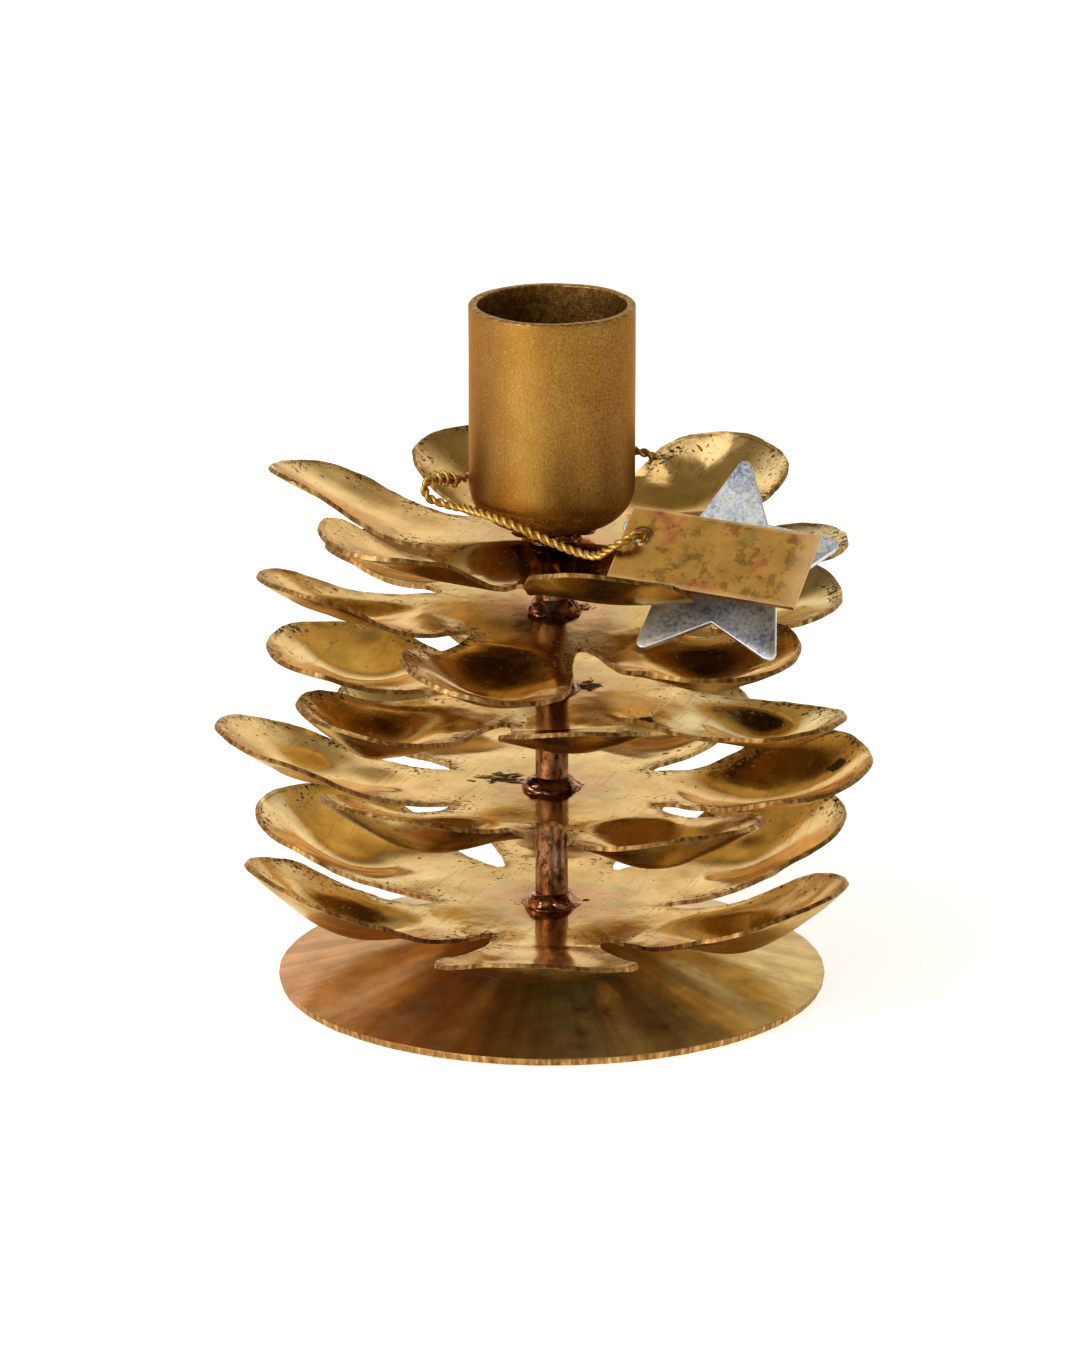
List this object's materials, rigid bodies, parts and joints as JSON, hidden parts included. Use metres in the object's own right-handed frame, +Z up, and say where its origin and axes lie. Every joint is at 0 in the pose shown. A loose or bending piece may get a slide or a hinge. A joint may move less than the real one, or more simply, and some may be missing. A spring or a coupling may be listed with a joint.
{
  "type": "candle holder",
  "caption": "Sheet brass candle holder: flower-shaped whorls of dished petals stacked on a rod over a round foot, with a round-bottomed cup for a taper candle and two hanging tags",
  "frame": {"origin": "on the rod's axis, on the surface that the foot stands on", "axes": "+Z up along the rod and out of the cup's mouth; -Y is the front, where the two tags hang; +X is to the right seen from the front"},
  "size_m": [0.1011, 0.1028, 0.106],
  "materials": {
    "polished_brass": "polished and heat tinted sheet, cut edges left rough",
    "satin_brass": "satin, heat tinted",
    "blasted_brass": "bead blasted",
    "rod_bronze": "heat tinted, mottled",
    "brazing": "as run, with dark flux",
    "wire_brass": "drawn, twisted",
    "plate_brass": "tarnished",
    "nickel_silver": "tumbled, mottled blue-grey, edges bright"
  },
  "bodies": {
    "root": {"foot": "satin_brass", "rod": "rod_bronze", "whorl_1": "polished_brass", "whorl_2": "polished_brass", "whorl_3": "polished_brass", "whorl_4": "polished_brass", "whorl_5": "polished_brass", "foot_bead": "brazing", "bead_1": "brazing", "bead_2": "brazing", "bead_3": "brazing", "bead_4": "brazing", "bead_5": "brazing", "cup_bead": "brazing", "candle_cup": "blasted_brass", "tag_wire": "wire_brass"},
    "plate": {"plate_tag": "plate_brass"},
    "star": {"star_tag": "nickel_silver"}
  },
  "joints": [
    {"name": "plate_swing", "type": "hinge", "parent": "root", "child": "plate", "pos_m": [0.01335, -0.02168, 0.07584], "axis": [-0.2507, -0.6204, 0.7431], "range_deg": [0, 25]},
    {"name": "star_swing", "type": "hinge", "parent": "root", "child": "star", "pos_m": [0.01434, -0.01315, 0.07378], "axis": [-0.2332, -0.7178, 0.6561], "range_deg": [0, 25]}
  ]
}
